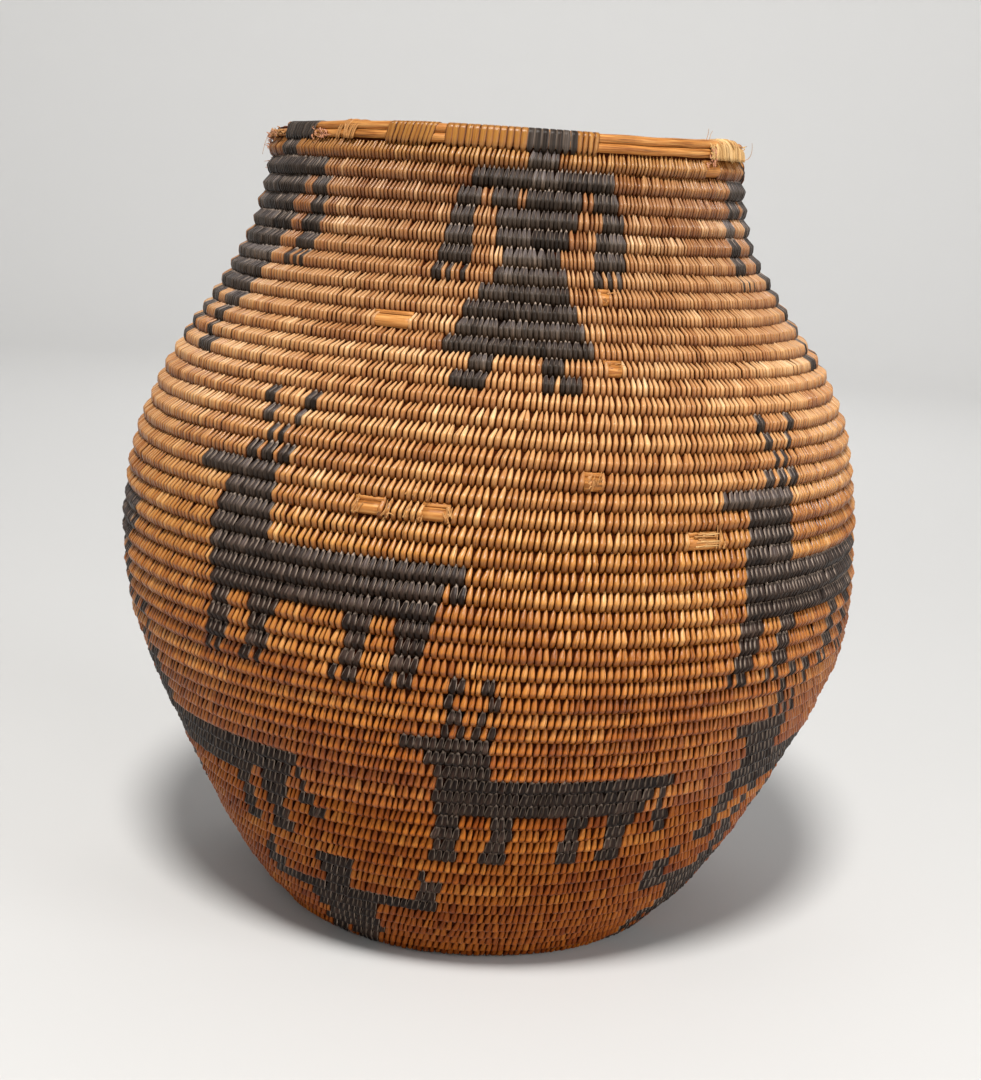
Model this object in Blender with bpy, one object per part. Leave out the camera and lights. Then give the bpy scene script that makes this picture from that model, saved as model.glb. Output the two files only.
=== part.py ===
# A coiled basketry jar: flat base, round belly, sloping shoulder, short neck and a worn rim.
# One coil of rods winds from the centre of the base to the rim, and each course is sewn to the
# one below. Lengths are in metres and +Z is up. The jar rests on the flat underside of its base
# at z = 0, and the origin lies there, under the middle of the belly. Angles are measured from
# the front, which faces -Y, and grow to the right (+X) as one looks at the front.

import math

import bpy
import numpy as np

# The jar's outline, along the crests of the courses
JAR_HEIGHT = 0.265
BELLY_RADIUS = 0.125
RIM_RADIUS = 0.0775
FOOT_RADIUS = 0.0650

# The outline's points: shares of the height from the floor to the rim, and shares of the way
# from the foot's radius (below the belly) or the rim's radius (above it) to the belly's radius
lower_height_shares = (0.0, 0.030, 0.065, 0.110, 0.170, 0.240, 0.320, 0.400, 0.480)
lower_radius_shares = (0.0, 0.145, 0.278, 0.406, 0.552, 0.700, 0.860, 0.971, 1.0)
upper_height_shares = (0.560, 0.630, 0.690, 0.740, 0.780, 0.820, 0.860, 0.900, 0.950, 1.0)
upper_radius_shares = (0.970, 0.885, 0.753, 0.595, 0.430, 0.292, 0.160, 0.085, 0.030, 0.0)

# The coil. Its courses grow from the base's height to the belly's between two shares of its turns
COURSE_HEIGHT_BASE = 0.00505
COURSE_HEIGHT_BELLY = 0.00575
growth_start_share = 0.48
growth_end_share = 0.70
WALL_THICKNESS = 0.0062
GROOVE_DEPTH = 0.0013
SPLICE_GAP = 0.0003
COLUMNS_PER_TURN = 25
SPANS_PER_CORNER = 24
SHARP_EDGE_ANGLE = math.radians(50.0)
crest_shares = (0.25, 0.75)
inner_crest_shares = (0.5,)
aged_course_share = 0.5

# The jar is hand made: each course sits lower on the right by a share of its reach, and the
# body is out of true to the right at the shoulder and above the foot
SIDE_DROP_SLOPE = 0.023
SHOULDER_SHIFT = 0.005
FOOT_SHIFT = 0.0017
shoulder_place_share = 0.73
shoulder_spread_share = 0.14
side_drop_start_share = 0.05
side_drop_full_share = 0.55

# The rim coil: three rods, the splints still sewn over them and the repair at its end
ROD_DIAMETER = 0.0026
ROD_GAP = 0.0003
SEWING_THICKNESS = 0.0004
SEWING_CLEARANCE = 0.0003
REPAIR_THICKNESS = 0.0007
ROD_POINTS_PER_TURN = 45
SEWING_STEP = math.radians(8.0)
COIL_END_ANGLE = math.radians(80.0)
ROD_START_SETBACK = 0.001
ROD_END_SETBACK = 0.003
arch_depth_shares = (0.0, 0.0, 0.06, 0.22, 0.78, 0.94, 1.0, 1.0)
arch_height_shares = (0.0, 0.75, 0.93, 1.0, 1.0, 0.93, 0.75, 0.0)

# The stretches of coil between splices, as shares of all courses below the rim coil
stretch_share_ends = (
    ("base_start_knot", 0.032),
    ("base_coil", 0.190),
    ("heel_coil", 0.275),
    ("lower_wall_coil", 0.425),
    ("lower_belly_coil", 0.575),
    ("upper_belly_coil", 0.715),
    ("shoulder_coil", 0.860),
    ("neck_coil", 1.0),
)

# Degrees from the front where each sewn stretch of the rim starts and ends
sewn_stretches = (
    ("rim_sewing_black_left", -64.0, -51.0, "black"),
    ("rim_sewing_tuft", -40.5, -34.0, "tan"),
    ("rim_sewing_front", -28.0, 4.0, "tan"),
    ("rim_sewing_black_front", 4.0, 15.0, "black"),
    ("rim_sewing_front_end", 15.0, 20.0, "tan"),
    ("rim_sewing_right", 84.0, 148.0, "tan"),
    ("rim_sewing_black_right", 148.0, 159.0, "black"),
    ("rim_sewing_back", 159.0, 220.0, "tan"),
    ("rim_sewing_black_back", 220.0, 231.0, "black"),
    ("rim_sewing_left", 231.0, 262.0, "tan"),
)
REPAIR_START = math.radians(53.0)
REPAIR_END = math.radians(79.0)
UPPER_ROD_BREAK_START = math.radians(262.5)
UPPER_ROD_BREAK_END = math.radians(295.5)

# Colour, roughness
FINISHES = {
    "tan": ((0.55, 0.27, 0.085), 0.55),
    "amber": ((0.42, 0.16, 0.035), 0.55),
    "black": ((0.018, 0.014, 0.013), 0.5),
    "rod": ((0.60, 0.31, 0.10), 0.5),
    "straw": ((0.68, 0.50, 0.24), 0.7),
}


def clear_scene():
    for old in list(bpy.data.objects):
        bpy.data.objects.remove(old, do_unlink=True)


def make_collection(name):
    collection = bpy.data.collections.new(name)
    bpy.context.scene.collection.children.link(collection)
    return collection


def make_material(name, finish):
    colour, roughness = FINISHES[finish]
    material = bpy.data.materials.new(name + "_finish")
    material.use_nodes = True
    shader = material.node_tree.nodes["Principled BSDF"]
    shader.inputs["Base Color"].default_value = (*colour, 1.0)
    shader.inputs["Roughness"].default_value = roughness
    shader.inputs["Metallic"].default_value = 0.0
    return material


def smooth_step(value):
    value = min(1.0, max(0.0, value))
    return value * value * (3.0 - 2.0 * value)


class Outline:
    """The jar's half section, from the centre of the base out and up past the rim.

    The total is the length up to the rim. The sewing over the rim's rods reaches a little higher.
    """

    def __init__(self):
        corners = [(0.0, 0.0), (FOOT_RADIUS / 3.0, 0.0), (FOOT_RADIUS * 2.0 / 3.0, 0.0)]
        for height, radius in zip(lower_height_shares, lower_radius_shares):
            corners.append((FOOT_RADIUS + (BELLY_RADIUS - FOOT_RADIUS) * radius, JAR_HEIGHT * height))
        for height, radius in zip(upper_height_shares, upper_radius_shares):
            corners.append((RIM_RADIUS + (BELLY_RADIUS - RIM_RADIUS) * radius, JAR_HEIGHT * height))
        curve = np.maximum(self.rounded(np.array(corners)), 0.0)
        last_step = curve[-1] - curve[-2]
        above_rim = curve[-1] + last_step / np.linalg.norm(last_step) * COURSE_HEIGHT_BELLY
        self.points = np.vstack([curve, above_rim])
        steps = np.hypot(*np.diff(self.points, axis=0).T)
        self.lengths = np.concatenate([[0.0], np.cumsum(steps)])
        self.total = self.lengths[-2]

    def rounded(self, corners):
        """A smooth curve through the corners, each span shaped by its neighbours."""
        spans = SPANS_PER_CORNER
        before = np.vstack([2 * corners[0] - corners[1], corners, 2 * corners[-1] - corners[-2]])
        shares = np.linspace(0.0, 1.0, spans, endpoint=False)[:, None]
        pieces = []
        for i in range(1, len(before) - 2):
            start, end = before[i], before[i + 1]
            reach = np.linalg.norm(end - start)
            away = (end - before[i - 1]) / np.linalg.norm(end - before[i - 1]) * reach
            into = (before[i + 2] - start) / np.linalg.norm(before[i + 2] - start) * reach
            cube, square = shares**3, shares**2
            pieces.append(
                (2 * cube - 3 * square + 1) * start
                + (cube - 2 * square + shares) * away
                + (3 * square - 2 * cube) * end
                + (cube - square) * into
            )
        return np.vstack(pieces + [corners[-1:]])

    def at(self, length):
        """Radius, height and outward normal at a length along the outline."""
        radius = np.interp(length, self.lengths, self.points[:, 0])
        height = np.interp(length, self.lengths, self.points[:, 1])
        span = COURSE_HEIGHT_BASE / 2.0
        ends = np.clip([length - span, length + span], 0.0, self.lengths[-1])
        run = np.diff(np.interp(ends, self.lengths, self.points[:, 0]))[0]
        rise = np.diff(np.interp(ends, self.lengths, self.points[:, 1]))[0]
        size = math.hypot(run, rise)
        return radius, height, rise / size, -run / size


class Coil:
    """The coil's courses: where turn number u lies along the outline."""

    def __init__(self, outline):
        self.outline = outline
        tall_share = 1.0 - (growth_start_share + growth_end_share) / 2.0
        mean_height = COURSE_HEIGHT_BASE + (COURSE_HEIGHT_BELLY - COURSE_HEIGHT_BASE) * tall_share
        self.turns = round(outline.total / mean_height) - 1
        self.stretch = 1.0
        self.stretch = outline.total / self.length(self.turns + 1)

    def length(self, turn):
        """Length along the outline at the lower edge of this turn."""
        start, end = self.turns * growth_start_share, self.turns * growth_end_share
        grown = min(1.0, max(0.0, (turn - start) / (end - start)))
        tall_turns = (end - start) * (grown**3 - grown**4 / 2.0) + max(0.0, turn - end)
        extra = (COURSE_HEIGHT_BELLY - COURSE_HEIGHT_BASE) * tall_turns
        return self.stretch * (COURSE_HEIGHT_BASE * turn + extra)

    def angle(self, turn):
        """Angle from the front; the coil ends at the repair on the rim."""
        return COIL_END_ANGLE + (turn - self.turns) * math.tau

    def point(self, turn, depth, along=0.0, turned=0.0):
        """The place at a depth inside the crests, for the lower edge of this turn."""
        radius, height, out, up = self.outline.at(self.length(turn) + along)
        return place(self.angle(turn) + turned, radius - depth * out, height - depth * up)


def side_shift(height):
    """How far the body is out of true to the right: most at the shoulder, less above the foot."""
    share = min(1.0, max(0.0, height / JAR_HEIGHT))
    from_shoulder = (share - shoulder_place_share) / shoulder_spread_share
    return SHOULDER_SHIFT * math.exp(-(from_shoulder**2)) + FOOT_SHIFT * math.sin(math.tau * share)


def place(angle, radius, height):
    """World place of a point of the half section, with the hand-made drop and shift."""
    radius = max(radius, 0.0)
    across = radius * math.sin(angle)
    span = side_drop_full_share - side_drop_start_share
    fade = smooth_step((height / JAR_HEIGHT - side_drop_start_share) / span)
    return (across + side_shift(height), -radius * math.cos(angle), height - SIDE_DROP_SLOPE * fade * across)


def add_solid(name, points, faces, material, collection):
    mesh = bpy.data.meshes.new(name)
    mesh.from_pydata(points, [], faces)
    mesh.materials.append(material)
    mesh.validate()
    mesh.shade_smooth()
    mesh.set_sharp_from_angle(angle=SHARP_EDGE_ANGLE)
    solid = bpy.data.objects.new(name, mesh)
    collection.objects.link(solid)
    return solid


class StretchMesh:
    """One stretch of the coiled wall: courses that share faces, a helical edge above and below."""

    def __init__(self, coil, first, last):
        self.coil = coil
        self.first = first
        self.last = last
        self.points = []
        self.faces = []
        self.known = {}

    def crests(self, inside):
        return inner_crest_shares if inside else crest_shares

    def key(self, column, row, inside):
        """The top row of a course is the bottom row of the course above it."""
        if row > len(self.crests(inside)):
            column, row = column + COLUMNS_PER_TURN, 0
        return column, row, inside

    def vertex(self, column, row, inside):
        key = self.key(column, row, inside)
        if key not in self.known:
            self.known[key] = len(self.points)
            self.points.append(self.where(*key))
        return self.known[key]

    def where(self, column, row, inside):
        turn = column / COLUMNS_PER_TURN
        low_edge = row == 0 and column <= self.first + COLUMNS_PER_TURN
        high_edge = row == 0 and column >= self.last
        along = SPLICE_GAP / 2.0 * (low_edge - high_edge)
        if row:
            height = self.coil.length(turn + 1.0) - self.coil.length(turn)
            along += height * self.crests(inside)[row - 1]
        radius = max(self.coil.outline.at(self.coil.length(turn) + along)[0], COURSE_HEIGHT_BASE)
        at_start = column == self.first
        at_end = column == self.last
        turned = SPLICE_GAP / 2.0 / radius * (at_start - at_end)
        depth = 0.0 if row else GROOVE_DEPTH
        if inside:
            depth = WALL_THICKNESS - depth
        return self.coil.point(turn, depth, along, turned)

    def build(self):
        for column in range(self.first, self.last):
            for inside in (False, True):
                for row in range(len(self.crests(inside)) + 1):
                    low = [self.vertex(column, row, inside), self.vertex(column + 1, row, inside)]
                    high = [self.vertex(column + 1, row + 1, inside), self.vertex(column, row + 1, inside)]
                    self.add_face(low + high, inside)
        for step in range(COLUMNS_PER_TURN):
            self.close_edge(self.first + step, True)
            self.close_edge(self.last + step, False)
        self.close_end(self.first, False)
        self.close_end(self.last, True)
        return self.points, self.faces

    def add_face(self, face, flip):
        self.faces.append(tuple(reversed(face)) if flip else tuple(face))

    def close_edge(self, column, flip):
        outer = [self.vertex(column, 0, False), self.vertex(column + 1, 0, False)]
        inner = [self.vertex(column + 1, 0, True), self.vertex(column, 0, True)]
        self.add_face(outer + inner, flip)

    def close_end(self, column, flip):
        outer = [self.vertex(column, row, False) for row in range(len(crest_shares) + 2)]
        inner = [self.vertex(column, row, True) for row in range(len(inner_crest_shares) + 2)]
        self.add_face(outer + inner[::-1], flip)


def add_start_knot(coil, last, name, material, collection):
    """The knot that the coil starts from: a flat disc with the coil's first helical edge."""
    points = []
    for step in range(COLUMNS_PER_TURN + 1):
        turn = (last + step) / COLUMNS_PER_TURN
        radius = coil.outline.at(coil.length(turn))[0]
        turned = -SPLICE_GAP / 2.0 / radius * (step == COLUMNS_PER_TURN)
        for depth in (0.0, WALL_THICKNESS):
            points.append(coil.point(turn, depth, -SPLICE_GAP / 2.0, turned))
    centre = len(points)
    points += [place(0.0, 0.0, 0.0), place(0.0, 0.0, WALL_THICKNESS)]
    faces = []
    end = 2 * COLUMNS_PER_TURN
    for low in range(0, end, 2):
        faces.append((low, low + 2, low + 3, low + 1))
        faces.append((centre, low + 2, low))
        faces.append((centre + 1, low + 1, low + 3))
    faces.append((centre, 0, end))
    faces.append((centre + 1, end + 1, 1))
    faces.append((end, 0, 1, end + 1))
    return add_solid(name, points, faces, material, collection)


def add_wall(coil, collection):
    """The coiled wall below the rim coil, in stretches between splices."""
    whole = (coil.turns - 1) * COLUMNS_PER_TURN
    first = 0
    for name, share in stretch_share_ends:
        last = round(whole * share)
        material = make_material(name, "amber" if share < aged_course_share else "tan")
        if first == 0:
            add_start_knot(coil, last, name, material, collection)
        else:
            add_solid(name, *StretchMesh(coil, first, last).build(), material, collection)
        first = last


def turn_at(coil, angle):
    """The turn number of the rim coil at an angle from the front."""
    start = COIL_END_ANGLE
    while angle < start:
        angle += math.tau
    return coil.turns - 1 + (angle - start) / math.tau


def outer_rod_depth():
    return SEWING_THICKNESS + SEWING_CLEARANCE + ROD_DIAMETER / 2.0


def rod_step():
    """Distance between the centres of two rods that lie side by side."""
    return ROD_DIAMETER + ROD_GAP


def bundle_height():
    """Height of the two outer rods, from the seat of the lower one to the top of the upper one."""
    return ROD_DIAMETER + rod_step()


def bundle_depth():
    """Thickness of the three rods with the sewing over them on both sides."""
    inner_rod = rod_step() * math.sqrt(3.0) / 2.0
    return 2.0 * (SEWING_THICKNESS + SEWING_CLEARANCE) + ROD_DIAMETER + inner_rod


def add_rod(name, coil, start, end, depth, along, collection):
    """A rod of the rim coil, from one turn number to another."""
    count = max(2, math.ceil((end - start) * ROD_POINTS_PER_TURN))
    curve = bpy.data.curves.new(name, "CURVE")
    curve.dimensions = "3D"
    curve.bevel_depth = ROD_DIAMETER / 2.0
    curve.bevel_resolution = 1
    curve.use_fill_caps = True
    curve.materials.append(make_material(name, "rod"))
    spline = curve.splines.new("POLY")
    spline.points.add(count)
    for i, point in enumerate(spline.points):
        turn = start + (end - start) * i / count
        point.co = (*coil.point(turn, depth, along), 1.0)
    spline.use_smooth = True
    rod = bpy.data.objects.new(name, curve)
    collection.objects.link(rod)
    return rod


def add_rods(coil, collection):
    """The three rods of the rim coil: two outside, one above the other, and one inside."""
    girth = math.tau * RIM_RADIUS
    start = coil.turns - 1 + ROD_START_SETBACK / girth
    end = coil.turns - ROD_END_SETBACK / girth
    seat = SPLICE_GAP + ROD_DIAMETER / 2.0
    outside = outer_rod_depth()
    inside = outside + rod_step() * math.sqrt(3.0) / 2.0
    break_start = turn_at(coil, UPPER_ROD_BREAK_START)
    break_end = turn_at(coil, UPPER_ROD_BREAK_END)
    add_rod("rim_rod_lower", coil, start, end, outside, seat, collection)
    add_rod("rim_rod_inner", coil, start, end, inside, seat + rod_step() / 2.0, collection)
    upper = seat + rod_step()
    add_rod("rim_rod_upper_back", coil, start, break_start, outside, upper, collection)
    add_rod("rim_rod_upper_front", coil, break_end, end, outside, upper, collection)


def arch_section(coil, turn, wrap, turned):
    """Points over the rods at one place: the wrap's outer face, then back along its inner face."""
    spare = wrap - SEWING_THICKNESS
    outer_depth = bundle_depth() + 2.0 * spare
    outer_height = bundle_height() + SEWING_CLEARANCE + wrap
    inner_depth = outer_depth - 2.0 * wrap
    inner_height = outer_height - wrap
    shares = list(zip(arch_depth_shares, arch_height_shares))
    section = []
    for deep, high in shares:
        section.append(coil.point(turn, deep * outer_depth - spare, SPLICE_GAP + high * outer_height, turned))
    for deep, high in reversed(shares):
        depth = deep * inner_depth - spare + wrap
        section.append(coil.point(turn, depth, SPLICE_GAP + high * inner_height, turned))
    return section


def add_wrap(name, coil, start_angle, end_angle, wrap, finish, collection):
    """A stretch of splints over the rim's rods, open below where they go into the neck's coil."""
    start = turn_at(coil, start_angle)
    end = start + (end_angle - start_angle) / math.tau
    steps = max(1, math.ceil((end_angle - start_angle) / SEWING_STEP))
    margin = SPLICE_GAP / 2.0 / RIM_RADIUS
    points = []
    for i in range(steps + 1):
        turned = margin * ((i == 0) - (i == steps))
        points += arch_section(coil, start + (end - start) * i / steps, wrap, turned)
    size = 2 * len(arch_depth_shares)
    faces = []
    for j in range(size // 2 - 1):
        end = (j, j + 1, size - 2 - j, size - 1 - j)
        faces.append(end)
        faces.append(tuple(size * steps + corner for corner in reversed(end)))
    for i in range(steps):
        for j in range(size):
            following = (j + 1) % size
            low, high = i * size, (i + 1) * size
            faces.append((low + j, high + j, high + following, low + following))
    return add_solid(name, points, faces, make_material(name, finish), collection)


def add_rim(coil, collection):
    add_rods(coil, collection)
    for name, start, end, finish in sewn_stretches:
        start, end = math.radians(start), math.radians(end)
        add_wrap(name, coil, start, end, SEWING_THICKNESS, finish, collection)
    add_wrap("rim_repair_wrap", coil, REPAIR_START, REPAIR_END, REPAIR_THICKNESS, "straw", collection)


def main():
    clear_scene()
    collection = make_collection("coiled_jar")
    coil = Coil(Outline())
    print("courses in the coil:", coil.turns)
    add_wall(coil, collection)
    add_rim(coil, collection)


main()
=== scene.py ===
# The looks of a coiled basketry jar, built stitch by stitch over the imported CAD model.
# Lengths are in metres and +Z is up. Angles are measured from the front, which faces -Y, and grow
# to the right (+X) as one looks at the front. Courses are counted down from the rim, which is
# course 1, and the coil climbs to the right.
# The functions read coil, chance and looks, which are made at the end of the file.

import math
from bisect import bisect_left

import bpy
import numpy as np
from mathutils import Matrix, Vector


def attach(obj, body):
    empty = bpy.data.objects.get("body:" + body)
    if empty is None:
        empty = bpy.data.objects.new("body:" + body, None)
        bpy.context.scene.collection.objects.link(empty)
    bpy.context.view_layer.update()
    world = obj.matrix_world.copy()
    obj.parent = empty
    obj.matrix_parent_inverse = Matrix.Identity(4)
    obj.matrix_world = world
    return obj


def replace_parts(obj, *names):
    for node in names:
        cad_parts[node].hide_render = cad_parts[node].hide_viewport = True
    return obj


# The jar's outline, as in the imported CAD model
JAR_HEIGHT = 0.265
BELLY_RADIUS = 0.125
RIM_RADIUS = 0.0775
FOOT_RADIUS = 0.065
WALL_THICKNESS = 0.0062
lower_height_shares = (0, 0.03, 0.065, 0.11, 0.17, 0.24, 0.32, 0.4, 0.48)
lower_radius_shares = (0, 0.145, 0.278, 0.406, 0.552, 0.7, 0.86, 0.971, 1)
upper_height_shares = (0.56, 0.63, 0.69, 0.74, 0.78, 0.82, 0.86, 0.9, 0.95, 1)
upper_radius_shares = (0.97, 0.885, 0.753, 0.595, 0.43, 0.292, 0.16, 0.085, 0.03, 0)
SPANS_PER_CORNER = 24

# The coil: its courses grow taller between two shares of its turns
COURSE_HEIGHT_BASE = 0.00505
COURSE_HEIGHT_BELLY = 0.00575
growth_start_share = 0.48
growth_end_share = 0.7
COIL_END_ANGLE = math.radians(80)

# The hand-made form: out of true to the right, lower at the right, and higher at the coil's end
SHOULDER_SHIFT = 0.005
SHOULDER_SWELL = 0.0008
shoulder_place_share = 0.73
shoulder_spread_share = 0.14
FOOT_SHIFT = 0.0017
SIDE_DROP_SLOPE = 0.023
side_drop_start_share = 0.05
side_drop_full_share = 0.55
COIL_END_LIFT = 0.0011
coil_end_degrees = (20, 65, 85, 130)
coil_end_height_share = 0.9
UNEVENNESS = 0.00028

# Its waves: how many to a turn, how far each slides from course to course, and how high it is
uneven_waves = ((2, 0.21, 1), (5, 1.3, 0.6), (9, -2.1, 0.5))

# The stretches of coil between splices, as shares of all courses below the rim coil
stretch_share_ends = (
    ("base_start_knot", 0.032),
    ("base_coil", 0.19),
    ("heel_coil", 0.275),
    ("lower_wall_coil", 0.425),
    ("lower_belly_coil", 0.575),
    ("upper_belly_coil", 0.715),
    ("shoulder_coil", 0.86),
    ("neck_coil", 1),
)
aged_course_share = 0.5

# Stitches. Between two shares of the turns they grow apart, so that more shows between them.
STITCH_PITCH = 0.00172
GROOVE_DEPTH = 0.0019
EDGE_FALL = 0.00066
edge_power = 4.5
stitch_fill_turn_shares = (0.35, 0.75)
stitch_fill_shares = (0.98, 0.9)
black_fill_share = 1.03
stitch_lean_share = 0.42
FIRST_STITCH_TURN = 0.55
RADIUS_TABLE_STEP = 0.25
STITCHES_PER_SPLINT = 16
LARGEST_GROUP = 2200

# Rows of points on a stitch, from its lower end up: first how far along it they lie, then its width,
# its depth and its lean there. The columns of points lie across it.
outer_stitch_shares = (
    (-0.07, 0.01, 0.12, 0.3, 0.41, 0.5, 0.66, 0.83, 0.98, 1.1),
    (0.58, 0.85, 0.97, 1, 1, 0.98, 0.9, 0.75, 0.52, 0.2),
    (1.25, 0.72, 0.4, 0.14, 0, 0.05, 0.31, 0.61, 0.84, 1.02),
    (0, 0, 0, 0.03, 0.09, 0.2, 0.45, 0.73, 0.97, 1.12),
)
outer_across_shares = (-1, -0.86, -0.6, 0.6, 0.86, 1)
inner_stitch_shares = (
    (-0.08, 0.2, 0.5, 0.8, 1.06),
    (0.6, 0.95, 1, 0.9, 0.4),
    (1.1, 0.35, 0, 0.35, 1),
    (0, 0.1, 0.3, 0.7, 1),
)
inner_across_shares = (-1, 0, 1)
reach_fixed_share = 0.3

# How single stitches differ: ranges of their pitch and width, and the spread of the rest
pitch_range_shares = (0.9, 1.1)
width_range_shares = (0.88, 1.04)
lean_spread_share = 0.13
reach_spread_share = 0.04
BULGE_SPREAD = 0.00008
TILT_SPREAD = 0.0001
MIDDLE_TONE = 0.5
TONE_SPREAD = 0.1
RANDOM_SEED = 7

# A stitch moves this far towards the gap between two stitches below it, within this reach, and
# keeps this share of a step from the stitch before it
gap_pull_share = 0.85
gap_reach_share = 0.35
least_step_share = 0.72

# Each stitch has a cell of the texture, as many times as high as it is wide
CELL_ASPECT = 3.6
cell_margin_share = 0.06

# The foundation under the stitches, with points this many to a turn and up each course
CORE_DEPTH = 0.0013
CORE_COLUMNS = 90
core_row_shares = (0, 0.12, 0.35, 0.65, 0.88)
core_groove_share = 0.7

# The rim coil's rods, and a dark filler behind them, painted near black as the shade between the rods
ROD_DIAMETER = 0.0028
ROD_COVER = 0.0004
RIM_SEAT = 0.0003
rod_nest_share = 0.97
ROD_END_TURNS = (0.002, 0.006)
ROD_STEPS_PER_TURN = 240
ROD_SIDES = 14
ROD_WAVE = 0.00014
ROD_WAVE_RATE = 53
ROD_WAVE_SHIFT = 4000
ROD_RIPPLE = 0.00008
ROD_RIPPLE_RATE = 171
rod_swell_share = 0.035
ROD_SWELL_RATE = 97
ROD_SWELL_SHIFT = 9000
LOW_SHADE_FILLER_RADIUS = 0.0013
SHADE_FILLER_RADIUS = 0.001
SHADE_FILLER_RINGS = 360
SHADE_FILLER_SIDES = 8

# The rim's stitches: how far up, how deep and how wide their rows of points are, from the outer
# face over the top and down the inner face
RIM_STITCH_HEIGHT = 0.0062
RIM_EDGE_FALL = 0.00032
rim_stitch_shares = (
    (-0.24, -0.12, 0.03, 0.24, 0.47, 0.7, 0.87, 0.96, 1, 1, 0.96, 0.86, 0.65, 0.38, 0.12, -0.05),
    (0.28, 0.14, 0.04, 0, 0.02, 0, 0.05, 0.16, 0.33, 0.55, 0.76, 0.91, 0.99, 1, 1, 0.9),
    (0.25, 0.68, 0.94, 1, 1, 1, 1.02, 1.03, 1.03, 1.02, 1, 1, 1, 1, 0.9, 0.6),
)
rim_across_share = 1.13
rim_middle_share = 0.45
rim_lean_start_share = 0.3
rim_lean_spread_share = 0.12
rim_place_spread_share = 0.05
rim_fill_range_shares = (1.05, 1.13)
# Which place along a stitch each share of the way over the rim takes its tones from: the lower outer face
# gets the painted shade of a stitch's lower end, the top its painted highlight
rim_look_passed_shares = (0, 0.14, 0.4, 0.6, 1)
rim_look_along_shares = (0.1, 0.42, 0.44, 0.44, 0.3)
rim_tones = {"willow": 0.53, "black": 0.32}

# The rim is worn down at its left: how far, and the degrees between which it grows to full height
worn_rim_share = 0.8
worn_rim_degrees = (-112, -100, -58, -20)

# Black figures. Each row is a course, from the figure's top down. It holds the starts and ends of
# stretches of black stitches in turn, in degrees from the figure's middle.
WOMAN = (
    (-4, 7),
    (-3.4, 3.3),
    (-15.7, 15.8),
    (-18.2, -13, -11.2, -5.4, -4, 9.1, 11.3, 17.2),
    (-19.5, -14.6, -10.4, 7, 12.5, 17.7),
    (-20.4, -14.8, -9, 4.4, 11.2, 17.3),
    (-20.9, -15.2, -8.8, 3.1, 9.9, 16.8),
    (-21.8, -20.6, -19.7, -18.4, -17.2, -16.1, -10.8, 3.2, 9.3, 10.6, 11.3, 12.6, 13.5, 14.9),
    (-12.8, 3.4),
    (-15.5, 4.6),
    (-17.2, 5.5),
    (-19, 6.4),
    (-13.8, -10.5, -2.6, 0.8),
    (-16.9, -11.6, -2.4, -1.2, -0.2, 3.3),
)
BROAD_MAN = (
    (-5, 8),
    (-6.6, 2.3),
    (-20.5, 15),
    (-27, -21, -19, 8.5, 11.6, 17),
    (-28, -22, -19.5, 6.3, 12.2, 17),
    (-28, -22.5, -20.5, 6.4, 10.8, 16.4),
    (-29, -23, -19.5, 5.2, 10.4, 16.2),
    (-29, -27.5, -26.5, -25, -19.5, 5.2, 10, 11.2, 12.2, 13.6, 14.6, 15.8),
    (-19.5, 4.1),
    (-20, 2.1),
    (-21, -11.6, -6.9, 0.8),
    (-21, -12, -5.4, -0.6),
    (-21, -14.2, -4.9, -1.5),
    (-22.5, -15.5, -4.6, 1.2),
)
SLIM_MAN = (
    (-4.5, 6.5),
    (-5.5, 4),
    (-18, 17),
    (-19.5, -11, -8, 8, 12, 18),
    (-22, -16.8, -9, 7, 14, 20),
    (-22.5, -17, -9.5, 6, 14, 20),
    (-23.5, -17.5, -8.8, 5, 13, 20),
    (-23, -21.8, -20.4, -19.2, -18, -16.8, -9, 4, 14, 15.2, 17, 18.2),
    (-8, 3.5),
    (-7.2, 3),
    (-6.5, -1.5, 2, 5),
    (-8.5, -5, 2.5, 5.5),
    (-12, -6.8, 3, 6),
    (4, 9.5),
)
UPPER_DEER = (
    (-3.9, -2.2, 4, 5.4),
    (-2.5, -0.8, 2.5, 3.8),
    (-1.1, 0.1, 1.3, 2.4),
    (-3.4, -1.8, -0.3, 1.1, 2, 3.9),
    (-11.9, 2.7),
    (-6.5, 2.8),
    (-7, 2.8),
    (-7.5, 2.7),
    (-7.6, 31.3),
    (-7, 28.3, 29.4, 31),
    (-6.9, 27.6),
    (-7.5, -3.5, 0.3, 4.4, 15, 18.5, 22.5, 26.6),
    (-7.8, -4.2, 0, 3.2, 15, 18.1, 22.5, 26),
    (-8.5, -5, -0.8, 2.6, 14.3, 17.4, 21.8, 25),
    (-9.3, -8.2, -7.5, -6, -2, -0.7, 0, 1.7, 12.6, 14, 15, 16.5, 20.6, 21.8, 22.9, 24.2),
)
LOWER_DEER = (
    (-4, -2.6, 0.2, 1.7),
    (-5.4, -3.9, 0.9, 2.4),
    (-4.5, -3.1, -0.6, 0.7),
    (-5.6, -4.4, -3.4, -2.3, -1.4, 0, 0.9, 2.2),
    (-12, 1.4),
    (-8.2, 1.4),
    (-6.7, 1.3),
    (-7.1, 31.4),
    (-7.2, 28.8, 30.1, 31.7),
    (-7.2, 28.5, 30.2, 31.7),
    (-7.2, -3, 2, 5.4, 14.6, 18.1, 22, 27.2, 30.5, 33.5),
    (-7.3, -2.9, 1.8, 5.3, 14.6, 17.7, 22.6, 26, 31.6, 34.3),
    (-7.5, -3.6, 1.6, 5.1, 14.4, 17.7, 22.6, 26),
    (-8.3, -3.6, 0.8, 4.9, 13.9, 17.6, 22.2, 26.2),
)
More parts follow.
